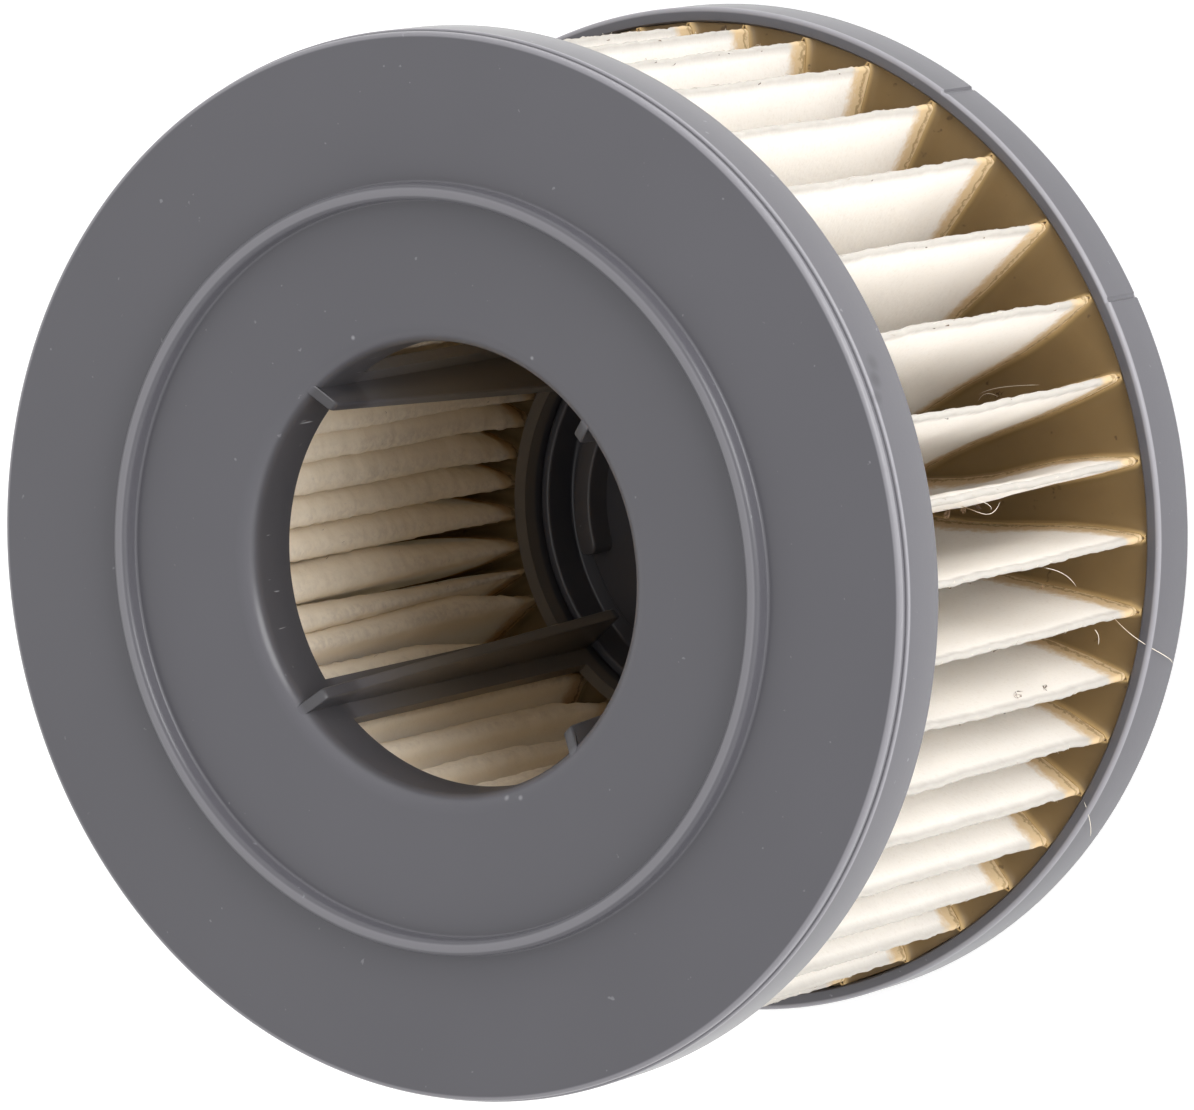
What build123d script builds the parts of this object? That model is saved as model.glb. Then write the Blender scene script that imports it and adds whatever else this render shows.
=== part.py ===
from build123d import *
import math
import os

# Vacuum filter cartridge: a ring of pleated filter paper between two moulded caps.
# The front cap is open and carries a ribbed cage, the rear cap is closed.
# Millimetres. Z is the axis of the ring. The rear face stands on Z = 0 and the
# open front face looks up. Two of the four cage ribs lie on the X axis.

# Front frame: face, skirt, bead and collar
HEIGHT = 71.3            # rear face to front face
CAP_RADIUS = 65.0        # over the front skirt
FACE_WALL = 2.0
FACE_BEVEL = 0.5         # on the face's outer edge
LEDGE_DROP = 1.4         # front face down to the small ledge round it
LEDGE_STEP = 0.3
SKIRT_DEPTH = 8.4        # front face to the skirt's free edge
SKIRT_WALL = 2.2
BEAD_CENTRE = 45.7       # radius of the sealing bead's crest
BEAD_WIDTH = 2.0
BEAD_HEIGHT = 2.2
BEAD_BEVEL = 0.6
HOLE_RADIUS = 27.4       # bore of the collar, and of the cage behind it
LIP_RADIUS = 2.4         # rounding from the face into the hole
LIP_FLATS = 3            # flats that the rounding is made of, which keeps the facets few
COLLAR_DEPTH = 8.3
COLLAR_WALL = 1.6

# Front frame: cage
RIB_COUNT = 4
STRIP_WIDTH = 6.1        # flat of each rib, against the paper
FIN_WALL = 1.5
FIN_FRONT_HEIGHT = 2.6   # fin's reach into the bore, at the front
FIN_REAR_HEIGHT = 6.4    # and at the rear
FIN_RAMP = 2.6           # axial length of the ramp that the fin starts with
FIN_START = 1.7          # how far out on the lip the ramp starts
FIN_ROUND = 1.2          # rounding where the ramp meets the fin's edge
RING_TOP = 10.3          # front edge of the cage's rear ring, above the rear face
RING_SEAT = 1.2          # glue left under the ring
WINDOW_CLEAR = 1.0       # how far the window cutters run past both faces of the tube

# Rear cap
FLOOR = 1.8
RIM_INSET = 1.1          # how far the rim stands inside the front skirt
RIM_HEIGHT = 7.8
RIM_WALL = 1.9
RIM_FOOT_BEVEL = 0.7
RIM_LIP_BEVEL = 0.45
PLUG_HEIGHT = 7.1        # collar that enters the cage's rear ring
PLUG_WALL = 1.25
PLUG_GAP = 0.3           # radial gap between the plug and the ring
PLUG_BEVEL = 0.4
DISC_RADIUS = 23.1       # raised middle of the floor
DISC_HEIGHT = 1.3
BOSS_COUNT = 4
BOSS_CENTRE = 20.9       # radius of the arc that each boss follows
BOSS_ANGLE = 45.0        # degrees between the ends of a boss
BOSS_WIDTH = 2.6
BOSS_HEIGHT = 4.0        # above the raised middle

# Pleated paper
PAPER = 0.5              # thickness of the sheet
PLEAT_COUNT = 43
PAPER_GAP = 0.3          # between the folds and the plastic inside and outside them
PAPER_SUNK = 4.0         # length of paper held in each ring of glue

# The pleats crowd together in places. Each row is a wave round the ring:
# its count of waves, then its sine and cosine in degrees.
PLEAT_ANGLE = -31.0
PHASE_ANGLE = 5.0
PLEAT_DRIFT = [(1, 3.2, 8.2), (2, 0.6, -4.9), (3, 1.1, -1.1)]

# Glue
REAR_GLUE_TOP = 6.8      # level of the glue in the rear cap
FRONT_GLUE = 5.0         # depth of glue in the front cap

# Sizes that follow
FACE_RADIUS = CAP_RADIUS - LEDGE_STEP
SKIRT_END = HEIGHT - SKIRT_DEPTH
SKIRT_BORE = CAP_RADIUS - SKIRT_WALL
COLLAR_RADIUS = HOLE_RADIUS + COLLAR_WALL
COLLAR_END = HEIGHT - COLLAR_DEPTH
RIM_RADIUS = CAP_RADIUS - RIM_INSET
RIM_BORE = RIM_RADIUS - RIM_WALL
PLUG_RADIUS = HOLE_RADIUS - PLUG_GAP
PLUG_BORE = PLUG_RADIUS - PLUG_WALL
RING_BOTTOM = FLOOR + RING_SEAT
CREST_RADIUS = min(RIM_BORE, SKIRT_BORE) - PAPER_GAP
ROOT_RADIUS = COLLAR_RADIUS + PAPER_GAP
FRONT_GLUE_TOP = HEIGHT - FACE_WALL
FRONT_GLUE_BOTTOM = FRONT_GLUE_TOP - FRONT_GLUE
PAPER_BOTTOM = REAR_GLUE_TOP - PAPER_SUNK
PAPER_TOP = FRONT_GLUE_BOTTOM + PAPER_SUNK


def section(points):
    """Closed outline in the XZ plane, from (radius, height) pairs."""
    return Plane.XZ * make_face(Polyline(*points, close=True))


def flats(centre, radius, start, end, count):
    """Points that follow a round from one angle to another, in degrees, with flats between them."""
    points = []
    for step in range(count + 1):
        angle = math.radians(start + (end - start) * step / count)
        points.append((centre[0] + radius * math.cos(angle), centre[1] + radius * math.sin(angle)))
    return points


def ring(inner, outer, bottom, top):
    """Plain ring about the Z axis."""
    return revolve(section([(inner, bottom), (outer, bottom), (outer, top), (inner, top)]), Axis.Z)


def frame_body():
    """Cap and cage tube in one turn: face, skirt outside, long tube inside, bead on the face."""
    lip_centre = (HOLE_RADIUS + LIP_RADIUS, HEIGHT - LIP_RADIUS)
    bead_inner = BEAD_CENTRE - BEAD_WIDTH / 2
    bead_outer = BEAD_CENTRE + BEAD_WIDTH / 2
    bead_top = HEIGHT + BEAD_HEIGHT
    outline = section([
        (HOLE_RADIUS, RING_BOTTOM),
        *flats(lip_centre, LIP_RADIUS, 180, 90, LIP_FLATS),
        (bead_inner, HEIGHT),
        (bead_inner, bead_top - BEAD_BEVEL),
        (bead_inner + BEAD_BEVEL, bead_top),
        (bead_outer - BEAD_BEVEL, bead_top),
        (bead_outer, bead_top - BEAD_BEVEL),
        (bead_outer, HEIGHT),
        (FACE_RADIUS - FACE_BEVEL, HEIGHT),
        (FACE_RADIUS, HEIGHT - FACE_BEVEL),
        (FACE_RADIUS, HEIGHT - LEDGE_DROP),
        (CAP_RADIUS, HEIGHT - LEDGE_DROP),
        (CAP_RADIUS, SKIRT_END),
        (SKIRT_BORE, SKIRT_END),
        (SKIRT_BORE, FRONT_GLUE_TOP),
        (COLLAR_RADIUS, FRONT_GLUE_TOP),
        (COLLAR_RADIUS, RING_BOTTOM),
    ])
    return revolve(outline, Axis.Z)


def windows():
    """What is cut from the cage tube between the collar, the rear ring and the ribs' strips."""
    cutter = ring(HOLE_RADIUS - WINDOW_CLEAR, COLLAR_RADIUS + WINDOW_CLEAR, RING_TOP, COLLAR_END)
    strip = Pos(CAP_RADIUS / 2, 0, HEIGHT / 2) * Box(CAP_RADIUS, STRIP_WIDTH, HEIGHT)
    for index in range(RIB_COUNT):
        cutter -= Rot(0, 0, index * 360 / RIB_COUNT) * strip
    return cutter


def fin():
    """Fin of the rib on +X. It starts with a ramp on the lip and grows towards the rear."""
    ramp_top = HEIGHT - LIP_RADIUS + math.sqrt(LIP_RADIUS ** 2 - (LIP_RADIUS - FIN_START) ** 2)
    ramp_end = (HOLE_RADIUS - FIN_FRONT_HEIGHT, ramp_top - FIN_RAMP)
    back = HOLE_RADIUS + COLLAR_WALL / 2
    outline = section([
        (HOLE_RADIUS + FIN_START, ramp_top),
        ramp_end,
        (HOLE_RADIUS - FIN_REAR_HEIGHT, PLUG_HEIGHT),
        (HOLE_RADIUS, PLUG_HEIGHT),
        (back, PLUG_HEIGHT + COLLAR_WALL),
        (back, HEIGHT - LIP_RADIUS),
    ])
    bend = min(outline.vertices(), key=lambda v: math.hypot(v.X - ramp_end[0], v.Z - ramp_end[1]))
    return extrude(fillet(bend, FIN_ROUND), amount=FIN_WALL / 2, both=True)


def front_frame():
    """Front cap and cage, one moulding."""
    frame = frame_body() - windows()
    one_fin = fin()
    for index in range(RIB_COUNT):
        frame += Rot(0, 0, index * 360 / RIB_COUNT) * one_fin
    return frame


def boss():
    """Arc-shaped boss on the inside of the floor, centred between two ribs."""
    middle = 180 / BOSS_COUNT
    cap_angle = math.degrees(BOSS_WIDTH / 2 / BOSS_CENTRE)
    sweep = BOSS_ANGLE - 2 * cap_angle
    path = CenterArc((0, 0), BOSS_CENTRE, middle - sweep / 2, sweep)
    base = Pos(0, 0, FLOOR) * SlotArc(path, BOSS_WIDTH)
    return extrude(base, amount=DISC_HEIGHT + BOSS_HEIGHT)


def rear_cap():
    """Closed dish: rim, floor with a raised middle, and the plug that enters the cage."""
    disc_top = FLOOR + DISC_HEIGHT
    outline = section([
        (0, 0),
        (RIM_RADIUS - RIM_FOOT_BEVEL, 0),
        (RIM_RADIUS, RIM_FOOT_BEVEL),
        (RIM_RADIUS, RIM_HEIGHT - RIM_LIP_BEVEL),
        (RIM_RADIUS - RIM_LIP_BEVEL, RIM_HEIGHT),
        (RIM_BORE + RIM_LIP_BEVEL, RIM_HEIGHT),
        (RIM_BORE, RIM_HEIGHT - RIM_LIP_BEVEL),
        (RIM_BORE, FLOOR),
        (PLUG_RADIUS, FLOOR),
        (PLUG_RADIUS, PLUG_HEIGHT - PLUG_BEVEL),
        (PLUG_RADIUS - PLUG_BEVEL, PLUG_HEIGHT),
        (PLUG_BORE + PLUG_BEVEL, PLUG_HEIGHT),
        (PLUG_BORE, PLUG_HEIGHT - PLUG_BEVEL),
        (PLUG_BORE, FLOOR),
        (DISC_RADIUS, FLOOR),
        (DISC_RADIUS, disc_top),
        (0, disc_top),
    ])
    cap = revolve(outline, Axis.Z)
    one_boss = boss()
    for index in range(BOSS_COUNT):
        cap += Rot(0, 0, index * 360 / BOSS_COUNT) * one_boss
    return cap


def crest_angle(index):
    """Direction of one outer fold, in degrees, with the crowding of the pleats."""
    turn = PHASE_ANGLE + index * 360 / PLEAT_COUNT
    drift = 0
    for waves, sine, cosine in PLEAT_DRIFT:
        phase = math.radians(waves * turn)
        drift += sine * math.sin(phase) + cosine * math.cos(phase)
    return PLEAT_ANGLE + turn + drift


def at(radius, angle):
    """Point in the XY plane at a radius and an angle in degrees."""
    return Vector(radius, 0, 0).rotate(Axis.Z, angle)


def heading(vector):
    """Direction of a vector in the XY plane, in degrees."""
    return math.degrees(math.atan2(vector.Y, vector.X))


def fold(centre, before, after, turn):
    """Corners of the blunt outside of a fold, between its two neighbours.

    The inside of a fold is sharp and lies at the centre, so its outside lies one sheet away.
    turn is 1 for an outer fold and -1 for an inner one.
    """
    start = heading(before - centre) + turn * math.degrees(math.acos(PAPER / (before - centre).length))
    end = heading(after - centre) - turn * math.degrees(math.acos(PAPER / (after - centre).length))
    return [centre + at(PAPER, start), centre + at(PAPER, end)]


def sheet_section():
    """Section of the folded sheet, closed into a ring."""
    angles = [crest_angle(index) for index in range(PLEAT_COUNT + 1)]
    crests = [at(CREST_RADIUS, angle) for angle in angles]
    roots = [at(ROOT_RADIUS, (here + after) / 2) for here, after in zip(angles, angles[1:])]
    outside = []
    inside = []
    for index in range(PLEAT_COUNT):
        outside += fold(crests[index], roots[index - 1], roots[index], 1)
        outside.append(roots[index])
        inside.append(crests[index])
        inside += fold(roots[index], crests[index], crests[index + 1], -1)
    return make_face(Polyline(*outside, close=True)) - make_face(Polyline(*inside, close=True))


def pleated_media(sheet):
    """Folded sheet, its ends sunk in the glue of both caps."""
    return Pos(0, 0, PAPER_BOTTOM) * extrude(sheet, amount=PAPER_TOP - PAPER_BOTTOM, dir=(0, 0, 1))


def rear_potting(media):
    """Glue in the rear cap's channel, under and round the cage's ring, cast round the paper."""
    cast = revolve(section([
        (PLUG_RADIUS, FLOOR),
        (RIM_BORE, FLOOR),
        (RIM_BORE, REAR_GLUE_TOP),
        (COLLAR_RADIUS, REAR_GLUE_TOP),
        (COLLAR_RADIUS, RING_BOTTOM),
        (PLUG_RADIUS, RING_BOTTOM),
    ]), Axis.Z)
    return cast - media


def front_potting(media):
    """Glue in the front cap's channel, cast round the paper."""
    return ring(COLLAR_RADIUS, SKIRT_BORE, FRONT_GLUE_BOTTOM, FRONT_GLUE_TOP) - media


def main():
    os.makedirs("parts", exist_ok=True)
    media = pleated_media(sheet_section())
    pieces = {
        "front_frame": front_frame(),
        "rear_cap": rear_cap(),
        "pleated_media": media,
        "rear_potting": rear_potting(media),
        "front_potting": front_potting(media),
    }
    for name, piece in pieces.items():
        export_step(piece, f"parts/{name}.step")


main()
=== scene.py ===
import math

import bmesh
import bpy
import numpy as np
from mathutils import Matrix, Vector

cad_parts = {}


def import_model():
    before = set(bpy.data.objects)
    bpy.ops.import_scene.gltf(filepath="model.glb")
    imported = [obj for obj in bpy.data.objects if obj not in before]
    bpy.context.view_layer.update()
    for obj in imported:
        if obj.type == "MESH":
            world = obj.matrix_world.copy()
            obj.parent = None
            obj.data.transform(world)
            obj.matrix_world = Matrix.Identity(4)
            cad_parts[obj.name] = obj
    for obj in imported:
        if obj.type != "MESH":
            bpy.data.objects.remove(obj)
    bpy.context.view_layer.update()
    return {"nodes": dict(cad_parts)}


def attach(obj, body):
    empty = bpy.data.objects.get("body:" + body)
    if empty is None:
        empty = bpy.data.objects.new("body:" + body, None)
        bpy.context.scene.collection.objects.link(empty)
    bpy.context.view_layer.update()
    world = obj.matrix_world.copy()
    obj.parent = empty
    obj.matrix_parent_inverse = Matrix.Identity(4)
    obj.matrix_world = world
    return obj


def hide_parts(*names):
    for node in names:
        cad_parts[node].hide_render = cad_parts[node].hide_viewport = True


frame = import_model()
MM = 0.001

# Sizes in millimetres and angles in degrees, after the solids
HEIGHT = 71.3
CAP_RADIUS = 65.0
FACE_RADIUS = 64.7
LEDGE_DROP = 1.4
SKIRT_END = 62.9
SKIRT_BORE = 62.8
BEAD_CENTRE = 45.7
BEAD_WIDTH = 2.0
BEAD_HEIGHT = 2.2
HOLE_RADIUS = 27.4
LIP_RADIUS = 2.4
COLLAR_RADIUS = 29.0
COLLAR_END = 63.0
RIB_COUNT = 4
STRIP_WIDTH = 6.1
FIN_WALL = 1.5
FIN_FRONT_HEIGHT = 2.6
FIN_REAR_HEIGHT = 6.4
FIN_RAMP = 2.6
FIN_START = 1.7
FIN_ROUND = 1.2
RING_TOP = 10.3
RING_BOTTOM = 3.0
FLOOR = 1.8
RIM_RADIUS = 63.9
RIM_HEIGHT = 7.8
RIM_BORE = 62.0
PLUG_HEIGHT = 7.1
PLUG_RADIUS = 27.1
PLUG_BORE = 25.85
DISC_RADIUS = 23.1
DISC_TOP = 3.1
BOSS_COUNT = 4
BOSS_CENTRE = 20.9
BOSS_ANGLE = 45.0
BOSS_WIDTH = 2.6
BOSS_TOP = 7.1
PAPER = 0.5
PLEAT_COUNT = 43
CREST_RADIUS = 61.7
ROOT_RADIUS = 29.3
PAPER_BOTTOM = 2.8
PAPER_TOP = 68.3
PLEAT_ANGLE = -31.0
PHASE_ANGLE = 5.0
PLEAT_DRIFT = [(1, 3.2, 8.2), (2, 0.6, -4.9), (3, 1.1, -1.1)]
REAR_GLUE_TOP = 6.8
FRONT_GLUE_BOTTOM = 64.3
FRONT_GLUE_TOP = 69.3

# The paper as it is drawn here: thinner at its outer folds, and rounder at its inner ones
CREST_PAPER = 0.36
NOSE_PAPER = 0.46
CREST_FOLD = 0.24
FOLD = 6        # spans round a fold
FLANK = 6       # spans across a flank
ROWS = 24       # spans along a flank
FINE = 4        # as many times more along a fold
# Short hairs and single shreds, strewn at random; the shreds are frayed fibre, coloured dark as painted shade
# under the outer folds' edges
FUZZ, SHREDS = 900, 130
# Directions of the seams of the rear rim, and depth of the stretch between them and of the seams
SEAMS = (-14.4, 16.3)
SEAM_STEP, SEAM_GROOVE = 0.12, 0.26
# Lean in degrees at the rear and at the front of the inner folds that the photo shows, the height
# from which each touches the next, and how much of the pitch stands open at the rear
NOSES = {
    17: (-0.4, -0.4, 21, 0.55), 18: (0.2, 0.2, 22, 0.60), 19: (1.3, 1.3, 23, 0.50),
    20: (1.3, 1.3, 29, 0.55), 21: (1.3, 1.3, 38, 0.60), 22: (0.8, 2.8, 58, 0.75),
    23: (-1.9, 1.3, 24, 0.65), 24: (-3.2, -2.6, 34, 0.55),
}
# Distances from the paper's middle at which the glue's surface has points
GLUE_STEPS = [0, 0.2, 0.3, 0.42, 0.58, 0.8, 1.2, 2.2]
# Height that the glue climbs the paper, and distance over which that fades, twice over beside the
# paper and once in narrow gaps
GLUE_CLIMB = [(0.8, 0.30), (0.5, 1.1)]
NARROW_CLIMB, NARROW_REACH = 0.6, 1.4
# Heights between which the glue that the paper has drawn up fades away
REAR_STAIN, REAR_CREAM = 10.4, 12.4
FRONT_CREAM, FRONT_STAIN = 59.6, 62.6
# Strength of the even light, and of the part of it that comes from straight above. With the lamps it
# is more than a plain level, so the plastic renders lighter than its colour is written.
LIGHT, OVERHEAD = 1.85, 0.80
FLOOR_GLOW = 0.36
# Share of the paper's shading that is light from behind it
PAPER_THROUGH = 0.34
DEGREES_IN_RADIAN = 57.3
# Knots (radius, degrees, height) and the hair's own radius, for each of the longer hairs
HAIRS = [
    ([(43.5, -18.6, 10.5), (45.5, -18.6, 9.6), (48.0, -19.4, 8.6), (50.5, -20.4, 7.6)], 0.030),
    ([(43.2, -19.6, 10.6), (44.4, -18.9, 10.2), (45.4, -19.9, 9.4)], 0.025),
    ([(58.0, -51.0, 8.2), (61.0, -52.6, 8.4), (64.2, -53.9, 7.6), (64.35, -54.8, 4.6),
      (64.2, -56.3, 1.2)], 0.045),
    ([(61.4, -51.0, 18.2), (61.9, -51.7, 17.9), (61.8, -52.8, 17.4)], 0.040),
    ([(61.2, -42.4, 31.5), (62.1, -43.4, 28.3), (61.7, -45.3, 24.4)], 0.032),
    ([(61.3, -33.1, 52.0), (61.9, -34.2, 48.5), (62.2, -34.9, 45.6), (61.5, -33.9, 41.5)], 0.032),
    ([(61.2, -33.0, 47.0), (61.9, -33.9, 45.0), (61.3, -34.6, 43.6)], 0.028),
    ([(62.6, -73.6, 7.9), (64.3, -75.5, 6.9), (64.45, -78.0, 4.2)], 0.035),
]

# Lowest and highest level, inner and outer radius, and strength of the bands that are painted
# lighter. They stand for highlights that the photo has on these edges.
HIGHLIGHTS = [
    (7.15, 8.1, 63.25, 64.6, 0.45), (70.45, 71.6, 64.05, 65.4, 0.32),
    (69.4, 70.1, 64.55, 65.6, 0.40), (72.9, 73.9, 45.1, 46.3, 0.22),
]
# Radius, degrees, height, size and strength of the marks on the plastic: a smudge where negative,
# and pale specks on the lip where positive, which are painted highlights
MARKS = [
    (65.0, -16.8, 67.4, 1.3, -0.45), (65.0, -18.6, 68.2, 1.3, -0.55), (65.0, -20.4, 69.0, 1.1, -0.40),
    (29.9, 71.2, 71.3, 0.35, 0.5), (29.8, 20.0, 71.3, 0.30, 0.5), (28.6, -112.6, 71.0, 0.45, 0.4),
    (29.2, -108.5, 71.2, 0.40, 0.4),
]
# Radius, degrees, height, size and number of shreds of the knots of fibre, whose dark colour is in part
# painted shade
TANGLES = [
    (61.75, -33.9, 54.5, 1.1, 12), (61.8, -33.9, 51.0, 0.8, 7), (61.8, -34.0, 47.5, 0.8, 6),
    (61.7, -56.4, 35.5, 0.9, 8), (61.7, -56.4, 29.0, 0.9, 8), (61.7, -44.4, 33.0, 0.8, 6),
    (45.0, -19.6, 8.6, 1.3, 9), (43.6, -18.9, 8.4, 1.0, 6),
]


def add_piece(name, points, faces, node, material, sharp):
    """Mesh object from millimetre points, smooth but for its sharp edges. It stands for node, if any."""
    mesh = bpy.data.meshes.new(name)
    mesh.from_pydata((np.asarray(points, float) * MM).tolist(), [], faces)
    shape = bmesh.new()
    shape.from_mesh(mesh)
    bmesh.ops.recalc_face_normals(shape, faces=shape.faces)
    shape.to_mesh(mesh)
    shape.free()
    mesh.shade_smooth()
    mesh.set_sharp_from_angle(angle=math.radians(sharp))
    mesh.materials.append(material)
    piece = bpy.data.objects.new(name, mesh)
    bpy.context.scene.collection.objects.link(piece)
    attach(piece, "root")
    if node:
        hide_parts(node)
    return piece


class Shape:
    """Points and faces of one piece, gathered part by part."""

    def __init__(self):
        self.points = []
        self.faces = []
        self.count = 0

    def add(self, points, faces):
        points = np.asarray(points, float).reshape(-1, 3)
        base = self.count
        self.points.append(points)
        self.faces += [tuple(base + i for i in face) for face in faces]
        self.count += len(points)

    def piece(self, name, node, slot, material, sharp=34):
        return add_piece(name, np.concatenate(self.points), self.faces, node, material, sharp)


def cell(row, after, column, beside, count):
    """Corners of the face between two rows and two columns of a grid that is count wide."""
    return (row * count + column, row * count + beside, after * count + beside, after * count + column)


def rounded(outline, steps=5):
    """Closed outline in 2-D whose corners are rounded. Rows are (x, y, radius of the corner)."""
    points = []
    for index, (x, y, radius) in enumerate(outline):
        corner = np.array([x, y])
        before = np.array(outline[index - 1][:2]) - corner
        after = np.array(outline[(index + 1) % len(outline)][:2]) - corner
        if radius == 0:
            points.append(corner)
            continue
        room = 0.49 * min(np.linalg.norm(before), np.linalg.norm(after))
        before, after = before / np.linalg.norm(before), after / np.linalg.norm(after)
        half = math.acos(np.clip(before @ after, -1, 1)) / 2
        cut = min(radius / math.tan(half), room)
        radius = cut * math.tan(half)
        middle = before + after
        centre = corner + middle / np.linalg.norm(middle) * radius / math.sin(half)
        start = math.atan2(*(corner + before * cut - centre)[::-1])
        end = math.atan2(*(corner + after * cut - centre)[::-1])
        turn = (end - start + math.pi) % (2 * math.pi) - math.pi
        for step in range(steps + 1):
            angle = start + turn * step / steps
            points.append(centre + radius * np.array([math.cos(angle), math.sin(angle)]))
    return np.array(points)


def turned(shape, profile, columns, skip=None):
    """Closed ring from a closed (radius, height) profile. columns(radius) gives the angles, and
    skip(lower, upper, column) leaves out a face between two profile points."""
    angles = np.array([columns(radius) for radius, _ in profile])
    radii = profile[:, :1]
    heights = np.repeat(profile[:, 1:], angles.shape[1], 1)
    grid = np.stack([radii * np.cos(angles), radii * np.sin(angles), heights], 2)
    rows, count = angles.shape
    faces = []
    for row in range(rows):
        after = (row + 1) % rows
        for column in range(count):
            if skip and skip(row, after, column):
                continue
            beside = (column + 1) % count
            faces.append(cell(row, after, column, beside, count))
    shape.add(grid, faces)
    return grid


def stacked(outline, levels, place):
    """Closed solid from a 2-D outline that is drawn in by each level's inset. Rows of levels are
    (inset, height), and place turns (x, y, height) arrays into points."""
    before = outline - np.roll(outline, 1, 0)
    after = np.roll(outline, -1, 0) - outline
    before /= np.linalg.norm(before, axis=1)[:, None]
    after /= np.linalg.norm(after, axis=1)[:, None]
    normal = np.stack([-(before + after)[:, 1], (before + after)[:, 0]], 1)
    normal /= np.linalg.norm(normal, axis=1)[:, None]
    normal /= np.abs(np.sum(normal * np.stack([-before[:, 1], before[:, 0]], 1), 1))[:, None]
    x, y = outline.T
    if np.sum(x * np.roll(y, -1) - y * np.roll(x, -1)) < 0:
        normal = -normal
    count = len(outline)
    points = []
    faces = [tuple(range(count))[::-1]]
    for inset, height in levels:
        drawn = outline + normal * inset
        points.append(place(drawn[:, 0], drawn[:, 1], np.full(count, float(height))))
    for level in range(len(levels) - 1):
        for i in range(count):
            j = (i + 1) % count
            faces.append(cell(level, level + 1, i, j, count))
    top = (len(levels) - 1) * count
    faces.append(tuple(range(top, top + count)))
    return np.concatenate(points), faces


def round_edge(bottom, top, radius, steps=4):
    """Levels of a stack whose upper edge is rounded."""
    levels = [(0, bottom)]
    for step in range(steps + 1):
        angle = math.pi / 2 * step / steps
        levels.append((radius * (1 - math.cos(angle)), top - radius * (1 - math.sin(angle))))
    return levels


def front_frame(material):
    """Front cap and cage in one skin, with the windows left open, and the four fins."""
    lip = (HOLE_RADIUS, HEIGHT, LIP_RADIUS)
    inner, outer = BEAD_CENTRE - BEAD_WIDTH / 2, BEAD_CENTRE + BEAD_WIDTH / 2
    bead_top = HEIGHT + BEAD_HEIGHT
    outline = [
        (HOLE_RADIUS, RING_BOTTOM, 0.25), (HOLE_RADIUS, RING_TOP, 0), (HOLE_RADIUS, COLLAR_END, 0), lip,
        (inner, HEIGHT, 0.35), (inner, bead_top, 0.75), (outer, bead_top, 0.75), (outer, HEIGHT, 0.35),
        (FACE_RADIUS, HEIGHT, 0.75), (FACE_RADIUS, HEIGHT - LEDGE_DROP + 0.3, 0.1),
        (FACE_RADIUS - 0.2, HEIGHT - LEDGE_DROP, 0.05), (CAP_RADIUS, HEIGHT - LEDGE_DROP, 0.4),
        (CAP_RADIUS, SKIRT_END, 0.25), (SKIRT_BORE, SKIRT_END, 0.3), (SKIRT_BORE, FRONT_GLUE_TOP, 0.4),
        (COLLAR_RADIUS, FRONT_GLUE_TOP, 0.4), (COLLAR_RADIUS, COLLAR_END, 0), (COLLAR_RADIUS, RING_TOP, 0),
        (COLLAR_RADIUS, RING_BOTTOM, 0.25),
    ]
    profile = rounded(outline)
    strip, window = 8, 82

    def columns(radius):
        half = math.asin(STRIP_WIDTH / 2 / min(max(radius, HOLE_RADIUS), COLLAR_RADIUS))
        step = 2 * math.pi / RIB_COUNT
        on_rib = np.linspace(-half, half, strip, False)
        quarter = np.concatenate([on_rib, np.linspace(half, step - half, window, False)])
        return np.concatenate([quarter + step * index for index in range(RIB_COUNT)])

    def find(radius, height):
        return int(np.argmin(np.hypot(profile[:, 0] - radius, profile[:, 1] - height)))

    low_in, high_in = find(HOLE_RADIUS, RING_TOP), find(HOLE_RADIUS, COLLAR_END)
    high_out, low_out = find(COLLAR_RADIUS, COLLAR_END), find(COLLAR_RADIUS, RING_TOP)
    per_rib = strip + window

    def skip(row, after, column):
        return column % per_rib >= strip and (row, after) in ((low_in, high_in), (high_out, low_out))

    shape = Shape()
    turned(shape, profile, columns, skip)
    count = per_rib * RIB_COUNT
    for column in range(count):
        beside = (column + 1) % count
        if column % per_rib >= strip:
            for one, other in ((low_in, low_out), (high_in, high_out)):
                shape.faces.append(cell(one, other, column, beside, count))
        if column % per_rib in (0, strip):
            shape.faces.append(tuple(row * count + column for row in (low_in, high_in, high_out, low_out)))

    ramp_top = HEIGHT - LIP_RADIUS + math.sqrt(LIP_RADIUS ** 2 - (LIP_RADIUS - FIN_START) ** 2)
    back = (HOLE_RADIUS + COLLAR_RADIUS) / 2
    fin = rounded([
        (HOLE_RADIUS + FIN_START, ramp_top, 0.15),
        (HOLE_RADIUS - FIN_FRONT_HEIGHT, ramp_top - FIN_RAMP, FIN_ROUND),
        (HOLE_RADIUS - FIN_REAR_HEIGHT, PLUG_HEIGHT, 0), (HOLE_RADIUS, PLUG_HEIGHT, 0),
        (back, PLUG_HEIGHT + 1.6, 0), (back, HEIGHT - LIP_RADIUS, 0),
    ])
    rounding, half = 0.28, FIN_WALL / 2
    edge = [(rounding * (1 - math.cos(a)), half - rounding * (1 - math.sin(a)))
            for a in np.linspace(0, math.pi / 2, 4)]
    levels = [(inset, -height) for inset, height in edge[::-1]] + edge
    for index in range(RIB_COUNT):
        angle = 2 * math.pi * index / RIB_COUNT

        def place(x, y, height, c=math.cos(angle), s=math.sin(angle)):
            return np.stack([x * c - height * s, x * s + height * c, y], 1)

        shape.add(*stacked(fin, levels, place))
    return shape.piece("cap_front", "front_frame", "cap_plastic", material)


def even(count):
    angles = np.linspace(0, 2 * math.pi, count, False)
    return lambda radius: angles


def seamed(radius):
    """Directions of the rear cap's columns, closer at both ends of the set-back stretch of its rim."""
    close = [end + step for end in SEAMS for step in (-0.34, -0.16, 0.16, 0.34)]
    plain = [angle for angle in range(-180, 180) if min(abs(angle - end) for end in SEAMS) > 0.6]
    return np.radians(sorted(plain + close))


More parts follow.
